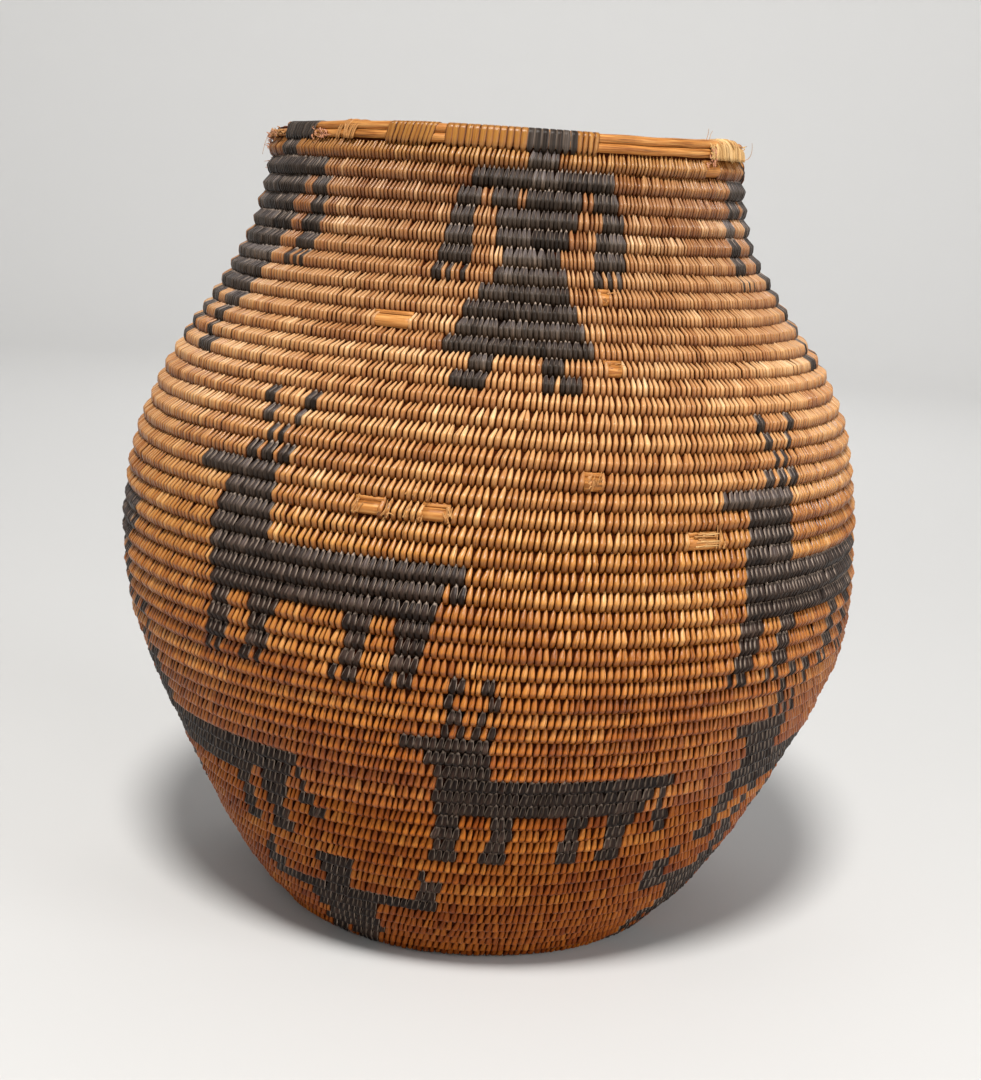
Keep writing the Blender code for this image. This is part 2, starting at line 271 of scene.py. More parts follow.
LONG_DEER = (
    (-6.5, -5.1, -2.3, -0.8),
    (-8, -6.4, -1.7, -0.1),
    (-7.1, -5.6, -3.1, -1.7),
    (-8.3, -6.9, -6, -4.8, -3.9, -2.4, -1.7, -0.3),
    (-15.5, -1.2),
    (-12, -1.4),
    (-12, -1),
    (-18, 32.2),
    (-19, 29.8, 31, 32.4),
    (-19, 20, 22.6, 28.6, 31, 32.3),
    (-19.5, -12, 14.4, 18, 21.8, 27.2, 30.8, 33.2),
    (-14, -7, 14.6, 18, 22, 26, 31.6, 34.4),
    (-13, -7, 14.2, 17.7, 21.8, 25.8),
    (-13, -9, 13.5, 17.3, 21.7, 25.6),
)
FOOT_FIGURE = (
    (-17, -14.8, -3, 4.6, 18.6, 19.8),
    (-19.5, -16, -3.1, 3.6, 18.3, 22.4),
    (-20.5, -14.8, -3.3, 2.6, 18, 21.8),
    (-20.5, 21.4),
    (-9, 8.6),
    (-8.5, 7.4),
    (-8.2, 6.3),
    (-10.8, 6.6),
    (-11.5, -5.5, -3.5, 3.5),
    (-12.5, -6, -4, 2.5),
    (-13, -7, -4.5, 2),
    (-14, -8, -5, 1.5),
)

# Where the figures stand: the course of their top row and the degrees of their middles
figure_places = (
    (WOMAN, 1, 8, 152),
    (BROAD_MAN, 1, -59, 228),
    (SLIM_MAN, 1, 81),
    (UPPER_DEER, 16, -34, 45.2, 119, 191.5, -96),
    (LOWER_DEER, 30, 0, 53.5, 114.5, 175.5, 237),
    (LONG_DEER, 30, -62),
    (FOOT_FIGURE, 45, -29, 239),
    (FOOT_FIGURE, 44, 57, 147),
)

# Stretches of the rim's stitches: degrees from the front where each starts and ends, its pitch, and
# how far its stitches lean in metres
black_rim_stretches = (
    (-64, -51, 0.0018, 0.0046),
    (4, 15, 0.002, 0.0003),
    (148, 159, 0.0018, 0.0006),
    (220, 231, 0.0018, 0.0006),
)
willow_rim_stretches = (
    (-28, -16.9, 0.0014, 0.0026),
    (-13.9, 4, 0.0021, 0.0007),
    (15, 20, 0.0016, 0.0004),
    (84, 148, 0.0018, 0.0006),
    (159, 220, 0.0018, 0.0006),
    (231, 262, 0.0017, 0.0006),
)

# Degrees between which the repair, the tuft and the gap in the upper rod lie
REPAIR_STRETCH = (53, 79)
TUFT_STRETCH = (-41.2, -35.4)
UPPER_ROD_BREAK = (262.5, 295.5)

# Places where stitches are worn away: the course, and the degrees where they start and end
bare_places = (
    (9, 17.9, 18.9),
    (11, -23.2, -17),
    (13, 16, 17.9),
    (21, -18, -15),
    (21, -8.7, -6.1),
    (22, 28.2, 31.6),
    (19, 12.4, 13.8),
    (2, 52, 58),
)

# The rods in a worn place: how high each lies, how deep and how thick, as shares of the course
bare_rod_shares = (
    (0.43, 0.03, 0.35),
    (0.89, 0.2, 0.14),
)

# Hairs at the rim: degrees, then sideways, up and out for the start, middle and end of each, in metres
rim_hairs = (
    (51.5, ((0, 0.0055, -0.001), (0.0012, 0.0072, -0.001), (0.0018, 0.0092, -0.001))),
    (53.5, ((0, 0.0055, -0.001), (0.0016, 0.007, -0.002), (0.0034, 0.0088, -0.002))),
    (74, ((0, 0.0004, 0.0004), (0.0006, 0.0016, 0.0028), (0.0002, 0.0056, 0.0034))),
    (-88, ((0, 0.001, 0), (-0.0004, 0, 0.0016), (0, -0.006, 0.0022))),
)

# Loose fibres: course, degrees, spread in degrees, lowest and highest start as shares of the course,
# count, reach sideways, up and out, and thickness
willow_frays = (
    (1, -67, 2.5, 0, 0.5, 12, -0.0024, 0.0002, 0.0006, 0.0004),
    (1, -73, 4, 0, 0.3, 26, -0.0022, 0.0008, 0.0006, 0.00042),
    (1, -80, 6, 0, 0.2, 20, -0.0022, 0.0004, 0.0006, 0.00036),
    (21, -18.3, 0.5, 0, 0.3, 5, 0.0012, 0.0036, 0.0002, 0.0003),
    (21, -14.2, 1, 0, 0.3, 7, 0.0012, 0.0036, 0.0002, 0.0003),
    (21, -10.2, 1.4, 0, 0.3, 7, 0.0012, 0.0036, 0.0003, 0.00026),
    (21, -5.6, 0.5, 0, 0.5, 10, -0.0008, 0.0024, 0.0005, 0.00034),
    (22, 29.4, 1.3, 0.2, 0.95, 18, 0.0046, 0.0002, 0.0001, 0.00034),
    (22, 32.8, 0.8, 0, 0.2, 5, 0.0004, 0.004, 0.0003, 0.00034),
    (20, -10, 2.5, 0, 0.4, 5, 0.001, 0.003, 0.0002, 0.00022),
    (19, 13.2, 0.9, 0, 0.5, 9, 0.0008, 0.0028, 0.001, 0.00028),
    (9, 18.3, 0.6, 0.1, 0.8, 4, 0.0016, 0.0006, 0.0008, 0.00018),
    (13, 17, 1, 0.1, 0.8, 5, 0.0018, 0.0006, 0.0008, 0.00018),
)
straw_frays = (
    (22, 29.6, 1.3, 0.2, 0.95, 6, 0.004, 0.0002, 0.0002, 0.00028),
    (1, 54.5, 1.6, 0, 0.9, 8, -0.0012, -0.0008, 0.0006, 0.00028),
    (1, 78, 2.5, 0.3, 1, 4, 0.002, 0.0004, 0.0012, 0.00018),
    (1, 70, 7, 0, 0.2, 8, 0.0012, -0.0012, 0.0006, 0.00022),
)
red_frays = (
    (1, -86, 8, 0, 0.3, 44, -0.0016, -0.0006, 0.0012, 0.00028),
    (1, -73, 4, 0, 0.3, 10, -0.002, -0.0002, 0.001, 0.00028),
    (1, -48.2, 3.2, 0, 0.5, 24, 0.002, -0.001, 0.0006, 0.00028),
    (1, 54, 1.6, 0, 0.6, 10, -0.001, -0.0014, 0.0008, 0.00028),
    (2, 53.5, 2, 0.8, 1, 8, -0.001, -0.0016, 0.0008, 0.00024),
    (2, -87, 7, 0.3, 1, 34, -0.001, 0.0004, 0.0014, 0.00022),
    (3, -92, 4, 0.2, 1, 6, -0.0008, -0.0012, 0.0016, 0.00016),
)

# How single fibres differ, as shares of what their table says
fray_reach_shares = (0.4, 1.2)
fray_lift_shares = (0.3, 1)
fray_thickness_shares = (0.6, 1.2)
fray_bend_share = 0.32
fray_taper_share = 0.55
FRAY_BEND = 0.0004
FRAY_SEAT = 0.0003
FRAY_ARCH = math.pi * 0.6
FRAY_RINGS = 9
FIBRE_SIDES = 5
HAIR_RADIUS = 0.00011
HAIR_RINGS = 14
hair_taper_share = 0.4

# The rods of worn places
bare_rod_overrun_degrees = 0.5
BARE_ROD_WAVE = 0.00012
BARE_ROD_STEPS_PER_TURN = 360
BARE_ROD_SIDES = 12

# Strands over the rim: their count, slants, the slants' spread, lifts, thicknesses, and shares of
# the rim's height: how high they stand, and how much lower at the end
TUFT_STRANDS = (9, (-0.0016, 0.0052, 0.0044, 0.0036), 0.0004, (-0.0006, -0.0002), (0.0003, 0.00042), 1, 0)
REPAIR_SLANTS = (-0.005, -0.0036, -0.0024, 0.002)
REPAIR_STRANDS = (44, REPAIR_SLANTS, 0.0008, (-0.0007, 0.0005), (0.00028, 0.00052), 0.9, 0.26)
repair_place_shares = (0.1, 0.9)
WRAP_OVERRUN = 0.12
WRAP_TUCK = 0.0004
WRAP_RINGS = 22
WRAP_SIDES = 6
wrap_arch_power = 0.72
wrap_slant_start_share = 0.25
wrap_fall_start_share = 0.6

# Nodes of the CAD model that the rim's stitches take the place of
willow_rim_nodes = [f"rim_sewing_{side}" for side in ("front", "front_end", "right", "back", "left")]
black_rim_nodes = [f"rim_sewing_black_{side}" for side in ("left", "front", "right", "back")]

# Colours of the splints, from the foot to the rim: a share of the height, and the colours of the
# stitches there, from dark to light, one for each tone stop. Besides the splints' own change of hue
# up the jar, they hold painted shade and light: darker towards the foot, which lies in shade under
# the belly, lightest at the shoulder, which faces the lamps, and the black stitches paler near the
# neck with a painted sheen.
tone_stops = (0, 0.35, 0.65, 1)
willow_lit_and_shaded_levels = (
    (0.04, ((0.115, 0.016, 0.001), (0.2, 0.041, 0.002), (0.28, 0.07, 0.004), (0.41, 0.14, 0.018))),
    (0.3, ((0.145, 0.025, 0.001), (0.275, 0.065, 0.004), (0.39, 0.112, 0.009), (0.56, 0.225, 0.045))),
    (0.55, ((0.17, 0.046, 0.005), (0.34, 0.12, 0.019), (0.47, 0.205, 0.045), (0.72, 0.4, 0.145))),
    (0.72, ((0.27, 0.102, 0.032), (0.49, 0.235, 0.087), (0.64, 0.362, 0.155), (0.8, 0.54, 0.285))),
    (0.93, ((0.14, 0.047, 0.014), (0.25, 0.101, 0.034), (0.35, 0.168, 0.067), (0.6, 0.37, 0.19))),
    (0.985, ((0.13, 0.037, 0.005), (0.25, 0.094, 0.014), (0.35, 0.155, 0.03), (0.56, 0.315, 0.11))),
)
black_lit_and_shaded_levels = (
    (0.05, ((0.003, 0.0011, 0.0005), (0.007, 0.0026, 0.0012), (0.014, 0.006, 0.003), (0.045, 0.022, 0.013))),
    (0.45, ((0.005, 0.0021, 0.0011), (0.013, 0.0062, 0.0037), (0.026, 0.014, 0.009), (0.085, 0.052, 0.037))),
    (0.7, ((0.013, 0.009, 0.007), (0.031, 0.023, 0.0185), (0.062, 0.048, 0.04), (0.15, 0.12, 0.102))),
)

# Tones along a stitch from its lower end up, and from its middle to its sides, all painted light:
# painted shade at the lower end, which faces down into the groove between courses, a pale, bluish
# painted highlight of the lamps and the sky on the upper half, and painted shade that darkens the
# sides, on willow also redder, where they turn away from the light, below a painted highlight in the
# middle.
length_shade_and_highlight_stops = (
    (0, (0.34, 0.22, 0.12)),
    (0.14, (0.62, 0.51, 0.4)),
    (0.36, (0.88, 0.82, 0.74)),
    (0.46, 1.02),
    (0.6, (1.06, 1.1, 1.22)),
    (0.95, (1.02, 1.05, 1.16)),
)
willow_across_shade_stops = ((0, (1.05, 1.08, 1.12)), (0.42, 1), (0.8, (0.84, 0.72, 0.6)))
black_across_shade_stops = ((0, 1.1), (0.5, 1), (0.8, 0.85))

# Edges of stitches: where across and along they start to change colour, how much they do at the
# lower and the upper end, and their colour. On willow the dark edge is painted shade in the gaps
# between stitches; on black stitches the pale edge is the cut wood under the black skin.
willow_edge_shade = (0.76, 1.3, 0.95, 0.8, (0.045, 0.008, 0.001))
black_edges = (0.66, 0.9, 0, 0.9, (0.36, 0.275, 0.215))
edge_end_shares = (0.35, 0.62)
tip_length_share = 0.12

# Splits along a stitch: stitches with a seed above this have one, this wide and this strong
least_split_seed = 0.86
split_width_share = 0.07
split_strength_share = 0.75
SPLIT_COLOUR = (0.03, 0.01, 0.004, 1)

# Seeds from 0 to 1, which differ from stitch to stitch and from tube to tube
STITCH_SEED_RATE = 37.7
SPLIT_SEED_RATE = 47
TUBE_SEED_STEP = 0.37

# Values of a noise where its dark, middle and light tones stand
streak_stops = (0.32, 0.52, 0.72)
rod_streak_stops = (0.3, 0.5, 0.72)
crack_stops = ((0.34, 0.25), (0.41, 1))

# The foundation's colours, painted shade that shows in the gaps between stitches and rods: red-brown,
# and under black stitches near black
foundation_shade_stops = ((0.2, (0.034, 0.006, 0.0008)), (0.8, (0.004, 0.0015, 0.0008)))

# Colours of rods and fibres: dark, middle and light
rod_colours = ((0.19, 0.055, 0.008), (0.43, 0.17, 0.04), (0.66, 0.34, 0.11))
fray_colours = ((0.22, 0.08, 0.018), (0.42, 0.19, 0.058), (0.64, 0.37, 0.15))
straw_colours = ((0.24, 0.1, 0.028), (0.57, 0.34, 0.13), (0.8, 0.56, 0.29))
red_colours = ((0.24, 0.08, 0.03), (0.47, 0.205, 0.11), (0.66, 0.38, 0.25))

# The camera, as a lens looks at the rim's centre
PHOTO_WIDTH = 981
PHOTO_HEIGHT = 1080
LENS_PIXELS = 1746
SENSOR_WIDTH = 36
CAMERA_PITCH = math.radians(11.46)
CAMERA_ROLL = math.radians(-3.04)
RIM_DISTANCE = 0.582
RIM_PIXEL = (509.5, 130.4)
CLIP_START = 0.01

# The lights: where each stands, where it points, its width, power and colour
JAR_MIDDLE = (0, 0, JAR_HEIGHT * 0.55)
WALL_BEHIND = (0, 2.2, 0.6)
lights = (
    ("key_light", (-0.05, -0.9, 1.5), JAR_MIDDLE, 0.34, 34, (1, 0.985, 0.96)),
    ("side_light", (-1.6, -0.7, 0.9), JAR_MIDDLE, 0.8, 2.5, (0.97, 0.98, 1)),
    ("fill_light", (1.5, -0.9, 0.8), JAR_MIDDLE, 0.8, 11.5, (0.98, 0.985, 1)),
    ("low_light", (0.75, -1.5, 0.28), JAR_MIDDLE, 0.35, 5, (1, 0.99, 0.97)),
    ("back_light", (0.2, 1.1, 1.6), WALL_BEHIND, 1.2, 20, (1, 1, 1)),
)
WORLD_COLOUR = (0.97, 0.98, 1, 1)
WORLD_STRENGTH = 0.22

# The floor, which curves up into a wall all round
FLOOR_COLOUR = (0.61, 0.605, 0.595, 1)
FLOOR_RADIUS = 1.9
FLOOR_BEND = 0.8
WALL_TOP = 2.4
FLOOR_BEND_STEPS = 12
FLOOR_SIDES = 96


def smooth_step(value, start, end):
    """0 up to the start, 1 from the end on, and a smooth rise between them."""
    share = np.clip((value - start) / (end - start), 0, 1)
    return share * share * (3 - 2 * share)


class Outline:
    """The jar's half section, from the centre of the base out and up past the rim."""

    def __init__(self):
        corners = [(FOOT_RADIUS * i / 3, 0) for i in range(3)]
        for height, radius in zip(lower_height_shares, lower_radius_shares):
            corners.append((FOOT_RADIUS + (BELLY_RADIUS - FOOT_RADIUS) * radius, JAR_HEIGHT * height))
        for height, radius in zip(upper_height_shares, upper_radius_shares):
            corners.append((RIM_RADIUS + (BELLY_RADIUS - RIM_RADIUS) * radius, JAR_HEIGHT * height))
        curve = np.maximum(self.rounded(np.array(corners)), 0)
        last_step = curve[-1] - curve[-2]
        above_rim = curve[-1] + last_step / np.linalg.norm(last_step) * COURSE_HEIGHT_BELLY
        self.points = np.vstack([curve, above_rim])
        steps = np.hypot(*np.diff(self.points, axis=0).T)
        self.lengths = np.concatenate([[0], np.cumsum(steps)])
        self.total = self.lengths[-2]

    def rounded(self, corners):
        """A smooth curve through the corners, each span shaped by its neighbours."""
        before = np.vstack([2 * corners[0] - corners[1], corners, 2 * corners[-1] - corners[-2]])
        shares = np.linspace(0, 1, SPANS_PER_CORNER, endpoint=False)[:, None]
        cube, square = shares**3, shares**2
        pieces = []
        for i in range(1, len(before) - 2):
            start, end = before[i], before[i + 1]
            reach = np.linalg.norm(end - start)
            away = (end - before[i - 1]) / np.linalg.norm(end - before[i - 1]) * reach
            into = (before[i + 2] - start) / np.linalg.norm(before[i + 2] - start) * reach
            pieces.append(
                (2 * cube - 3 * square + 1) * start
                + (cube - 2 * square + shares) * away
                + (3 * square - 2 * cube) * end
                + (cube - square) * into
            )
        return np.vstack(pieces + [corners[-1:]])

    def radius(self, length):
        return np.interp(length, self.lengths, self.points[:, 0])

    def height(self, length):
        return np.interp(length, self.lengths, self.points[:, 1])

    def at(self, length):
        """Radius, height and outward normal at lengths along the outline."""
        span = COURSE_HEIGHT_BASE / 2
        low = np.clip(length - span, 0, self.lengths[-1])
        high = np.clip(length + span, 0, self.lengths[-1])
        run = self.radius(high) - self.radius(low)
        rise = self.height(high) - self.height(low)
        size = np.hypot(run, rise)
        return self.radius(length), self.height(length), rise / size, -run / size


class Coil:
    """The coil's courses: where turn number u lies along the outline."""

    def __init__(self, outline):
        self.outline = outline
        tall_share = 1 - (growth_start_share + growth_end_share) / 2
        mean_height = COURSE_HEIGHT_BASE + (COURSE_HEIGHT_BELLY - COURSE_HEIGHT_BASE) * tall_share
        self.turns = round(outline.total / mean_height) - 1
        self.stretch = 1
        self.stretch = outline.total / self.length(self.turns + 1)

    def length(self, turn):
        """Length along the outline at the lower edge of these turns."""
        start, end = self.turns * growth_start_share, self.turns * growth_end_share
        grown = np.clip((turn - start) / (end - start), 0, 1)
        tall_turns = (end - start) * (grown**3 - grown**4 / 2) + np.maximum(0, turn - end)
        extra = (COURSE_HEIGHT_BELLY - COURSE_HEIGHT_BASE) * tall_turns
        return self.stretch * (COURSE_HEIGHT_BASE * turn + extra)

    def course_height(self, turn):
        return self.length(turn + 1) - self.length(turn)

    def stitch_radius(self, turn):
        """The jar's radius at the middle of these turns, but never too small to divide by."""
        return np.maximum(self.outline.radius(self.length(turn + 0.5)), COURSE_HEIGHT_BASE)

    def points(self, turn, along, depth, sideways=0):
        """Places that lie along and sideways from the lower edge of these turns, in metres."""
        radius, height, out, up = self.outline.at(self.length(turn) + along)
        angle = COIL_END_ANGLE + (turn - self.turns) * math.tau
        angle = angle + sideways / np.maximum(radius, COURSE_HEIGHT_BASE)
        return place(angle, radius + unevenness(turn) - depth * out, height - depth * up)

    def course(self, turn):
        """Course numbers counted down from the rim, and degrees from the front."""
        down = self.turns - turn
        whole = np.floor(down)
        return whole.astype(int) + 1, math.degrees(COIL_END_ANGLE) - (down - whole) * 360

    def turn_at(self, course, degrees):
        """The turn number of a course at an angle, for angles left of the coil's end."""
        return self.turns - (course - 1) + (math.radians(degrees) - COIL_END_ANGLE) / math.tau


def unevenness(turn):
    """Small bulges and hollows of hand-made work, which change from course to course."""
    angle = turn * math.tau
    waves = (share * np.sin(count * angle + slide * turn) for count, slide, share in uneven_waves)
    return UNEVENNESS * sum(waves)


def near_shoulder(height_share):
    """1 at the shoulder, and less above and below it."""
    return np.exp(-(((height_share - shoulder_place_share) / shoulder_spread_share) ** 2))


def side_shift(height):
    """How far the body is out of true to the right: most at the shoulder, less above the foot."""
    share = np.clip(height / JAR_HEIGHT, 0, 1)
    return SHOULDER_SHIFT * near_shoulder(share) + FOOT_SHIFT * np.sin(math.tau * share)


def place(angle, radius, height):
    """World places of points of the half section, with the hand-made swell, drop and shift."""
    share = height / JAR_HEIGHT
    radius = np.maximum(radius, 0) + SHOULDER_SWELL * near_shoulder(share)
    across = radius * np.sin(angle)
    fade = smooth_step(share, side_drop_start_share, side_drop_full_share)
    near_end = np.interp(np.degrees(angle) % 360, coil_end_degrees, (0, 1, 1, 0))
    near_rim = smooth_step(share, coil_end_height_share, 1)
    drop = SIDE_DROP_SLOPE * fade * across - COIL_END_LIFT * near_end * near_rim
    axes = (across + side_shift(height), -radius * np.cos(angle), height - drop)
    return np.stack(np.broadcast_arrays(*axes), axis=-1)


def in_figures(course, degrees):
    """Which places, by their course and degrees from the front, lie in a black figure."""
    black = np.zeros(len(course), bool)
    for figure, top_course, *middles in figure_places:
        for middle in middles:
            across = degrees - middle
            row = course - top_course + np.where(across < -180, 1, np.where(across > 180, -1, 0))
            across = (across + 180) % 360 - 180
            for i, edges in enumerate(figure):
                for start, end in zip(edges[::2], edges[1::2]):
                    black |= (row == i) & (across > start) & (across < end)
    return black


def per_stitch(values):
    """One value for each stitch, to go with its rows and columns of points."""
    return values[:, None, None]


class Stitches:
    """Every stitch of the wall and base: its turn number, colour and small differences."""

    def __init__(self):
        self.turn = self.sewn_turns()
        count = len(self.turn)
        self.course, self.degrees = coil.course(self.turn)
        self.black = in_figures(self.course, self.degrees)
        self.worn = np.zeros(count, bool)
        for course, start, end in bare_places:
            self.worn |= (self.course == course) & (self.degrees > start) & (self.degrees < end)
        radius = coil.stitch_radius(self.turn)
        middles = (self.turn[1:] + self.turn[:-1]) / 2
        starts = np.concatenate([[2 * self.turn[0] - middles[0]], middles])
        ends = np.concatenate([middles, [2 * self.turn[-1] - middles[-1]]])
        fill = np.interp(self.turn / coil.turns, stitch_fill_turn_shares, stitch_fill_shares)
        fill = np.where(self.black, black_fill_share, fill)
        self.width = (ends - starts) * math.tau * radius * fill * chance.uniform(*width_range_shares, count)
        self.shift = ((ends + starts) / 2 - self.turn) * math.tau * radius
        self.lean = STITCH_PITCH * (stitch_lean_share + chance.normal(0, lean_spread_share, count))
        self.bulge = chance.normal(0, BULGE_SPREAD, count)
        self.tilt = chance.normal(0, TILT_SPREAD, count)
        self.reach = chance.normal(0, reach_spread_share, count)
        self.tone = self.splint_tones()

    def sewn_turns(self):
        """Turn numbers of the stitches. Each stitch goes down between two of the course below."""
        table_turns = np.arange(0, coil.turns + 1, RADIUS_TABLE_STEP)
        table_radii = coil.stitch_radius(table_turns)
        turns = [FIRST_STITCH_TURN]
        last = coil.turns - 1
        while turns[-1] < last:
            here = turns[-1]
            step = STITCH_PITCH / (math.tau * float(np.interp(here, table_turns, table_radii)))
            wanted = here + step * chance.uniform(*pitch_range_shares)
            lean = stitch_lean_share * step
            below = bisect_left(turns, wanted - 1 - lean)
            if 0 < below < len(turns):
                gap = (turns[below - 1] + turns[below]) / 2 + 1 + lean
                reach = gap_reach_share * step
                wanted += gap_pull_share * min(reach, max(-reach, gap - wanted))
            turns.append(max(wanted, here + least_step_share * step))
        return np.array(turns[:-1])

    def splint_tones(self):
        """A tone for each stitch: its splint's tone, and a little of its own."""
        count = len(self.turn)
        splint = np.cumsum(chance.random(count) < 1 / STITCHES_PER_SPLINT)
        tones = chance.normal(MIDDLE_TONE, TONE_SPREAD, splint[-1] + 1)[splint]
        return np.clip(tones + chance.normal(0, TONE_SPREAD, count), 0, 1)

    def pads(self, chosen, outside):
        """Points of the chosen stitches, in rows along and columns across each, and their places."""
        own = (self.turn, self.width, self.shift, self.lean, self.reach, self.bulge, self.tilt)
        turn, width, shift, lean, reach, bulge, tilt = (per_stitch(values[chosen]) for values in own)
        rows = outer_stitch_shares if outside else inner_stitch_shares
        along, width_share, depth, leaning = (np.array(row)[None, :, None] for row in rows)
        across = np.array(outer_across_shares if outside else inner_across_shares)[None, None, :]
        along = along + reach * (along - reach_fixed_share)
        depth = GROOVE_DEPTH * depth + EDGE_FALL * np.abs(across) ** edge_power
        depth = depth + bulge + tilt * across
        if not outside:
            lean, depth = -lean, WALL_THICKNESS - depth
        sideways = shift + lean * leaning + across * width_share * width / 2
        return coil.points(turn, along * coil.course_height(turn), depth, sideways), along, across


def grid_faces(count, rows, columns, flip):
    """Quads of many grids of points, which follow each other in the list of points."""
    row, column = np.meshgrid(np.arange(rows - 1), np.arange(columns - 1), indexing="ij")
    first = (row * columns + column).ravel()
    quad = np.stack([first, first + 1, first + columns + 1, first + columns], axis=1)
    quad = quad[:, ::-1] if flip else quad
    starts = per_stitch(np.arange(count)) * (rows * columns)
    return (starts + quad[None]).reshape(-1, 4)


def cell_places(count, along, across):
    """Texture places of many stitches, each in a cell of its own."""
    columns = math.ceil(math.sqrt(count * CELL_ASPECT))
    rows = math.ceil(count / columns)
    number = per_stitch(np.arange(count))
    along = (along - along.min()) / (along.max() - along.min())
    across = (across + 1) / 2
    u = (number % columns + cell_margin_share + (1 - 2 * cell_margin_share) * across) / columns
    v = (number // columns + cell_margin_share + (1 - 2 * cell_margin_share) * along) / rows
    return np.stack(np.broadcast_arrays(u, v), axis=-1).reshape(-1, 2)


def link_object(name, data):
    thing = bpy.data.objects.new(name, data)
    bpy.context.scene.collection.objects.link(thing)
    return thing


def add_piece(name, points, faces, look, attributes, places=None):
    """A smooth mesh that rides on the jar's body."""
    mesh = bpy.data.meshes.new(name)
    mesh.from_pydata(np.asarray(points).reshape(-1, 3), [], faces)
    for key, values in attributes.items():
        layer = mesh.attributes.new(key, "FLOAT", "POINT")
        layer.data.foreach_set("value", np.asarray(values, np.float32).ravel())
    if places is not None:
        corners = np.empty(len(mesh.loops), np.int32)
        mesh.loops.foreach_get("vertex_index", corners)
        texture = mesh.uv_layers.new(name="OFBake")
        texture.data.foreach_set("uv", np.asarray(places, np.float32)[corners].ravel())
    material, slot = looks[look]
    mesh.materials.append(material)
    mesh.shade_smooth()
    mesh.update()
    piece = link_object(name, mesh)
    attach(piece, "root")
    return piece


def add_stitches(name, points, cells, along, across, turn, tone, look, flip=False):
    """One piece of many stitches, with what their material reads at each point."""
    shape = points.shape[:3]
    values = {
        "along": along,
        "across": across,
        "tone": per_stitch(tone),
        "seed": per_stitch(turn * STITCH_SEED_RATE % 1),
        "level": points[..., 2] / JAR_HEIGHT,
    }
    attributes = {key: np.broadcast_to(value, shape) for key, value in values.items()}
    return add_piece(name, points, grid_faces(*shape, flip), look, attributes, cells)


def add_wall_piece(name, stitches, group, outside, look):
    points, along, across = stitches.pads(group, outside)
    cells = cell_places(len(group), along, across)
    turn, tone = stitches.turn[group], stitches.tone[group]
    return add_stitches(name, points, cells, along, across, turn, tone, look, not outside)


def add_wall(stitches):
    """All stitches of the wall and the base, in pieces by stretch of coil, side and colour."""
    first = 0
    for node, share in stretch_share_ends:
        last = (coil.turns - 1) * share
        zone = (stitches.turn >= first) & (stitches.turn < last) & ~stitches.worn
        first = last
        stretch = node.replace("_coil", "").replace("base_start_knot", "knot")
        willow_look = "aged" if share < aged_course_share else "willow"
        for outside, side in ((True, "outer"), (False, "inner")):
            for kind, look in (("willow", willow_look), ("black", "black")):
                chosen = np.flatnonzero(zone & (stitches.black == (kind == "black")))
                parts = max(1, math.ceil(len(chosen) / LARGEST_GROUP)) if outside else 1
                for number, group in enumerate(np.array_split(chosen, parts), 1):
                    if not len(group):
                        continue
                    name = f"{stretch}_{side}_{kind}_{number}"
                    piece = add_wall_piece(name, stitches, group, outside, look)
                    if outside and kind == "willow" and number == 1:
                        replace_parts(piece, node)


def add_foundation():
    """The foundation under the stitches: one helical skin outside, one inside, joined at the rim."""
    shares = np.array(core_row_shares)
    rows = len(shares)
    count = (coil.turns - 1) * CORE_COLUMNS
    skin = (count + 1) * rows
    turn = np.arange(count + 1)[:, None] / CORE_COLUMNS
    black = np.repeat(in_figures(*coil.course(turn[:, 0])), rows)
    depth = CORE_DEPTH + GROOVE_DEPTH * core_groove_share * np.abs(2 * shares - 1)[None, :] ** 2
    depth = np.broadcast_to(depth, (count + 1, rows))
    along = shares[None, :] * coil.course_height(turn)
    points = [coil.points(turn, along, side_depth) for side_depth in (depth, WALL_THICKNESS - depth)]
    faces = []
    for side in (0, 1):
        for row in range(rows):
            if row + 1 < rows:
                column, step_up = np.arange(count), 1
            else:
                column, step_up = np.arange(count - CORE_COLUMNS), 1 + (CORE_COLUMNS - 1) * rows
            here = side * skin + column * rows + row
            quad = np.stack([here, here + rows, here + rows + step_up, here + step_up], axis=1)
            faces.append(quad[:, ::-1] if side else quad)
    outer = np.arange(count - CORE_COLUMNS, count) * rows + rows - 1
    inner = outer + skin
    faces.append(np.stack([outer, outer + rows, inner + rows, inner], axis=1))
    attributes = {"black": np.concatenate([black, black])}
    add_piece("foundation", np.concatenate(points), np.concatenate(faces), "foundation", attributes)


def tube(path, radius, sides):
    """Points round a path, one ring for each of its points, and quads between the rings."""
    path = np.asarray(path)
    radius = np.broadcast_to(radius, len(path))
    ahead = np.gradient(path, axis=0)
    ahead /= np.linalg.norm(ahead, axis=1)[:, None]
    side = np.cross(ahead, (0, 0, 1))
    side /= np.linalg.norm(side, axis=1)[:, None]
    up = np.cross(side, ahead)
    turn = np.arange(sides) * math.tau / sides
    ring = np.cos(turn)[None, :, None] * side[:, None] + np.sin(turn)[None, :, None] * up[:, None]
    points = path[:, None] + ring * radius[:, None, None]
    low = np.arange(len(path) - 1)[:, None] * sides
    here, following = np.arange(sides)[None], (np.arange(sides)[None] + 1) % sides
    faces = np.stack([low + here, low + following, low + sides + following, low + sides + here], axis=-1)
    return points.reshape(-1, 3), faces.reshape(-1, 4)


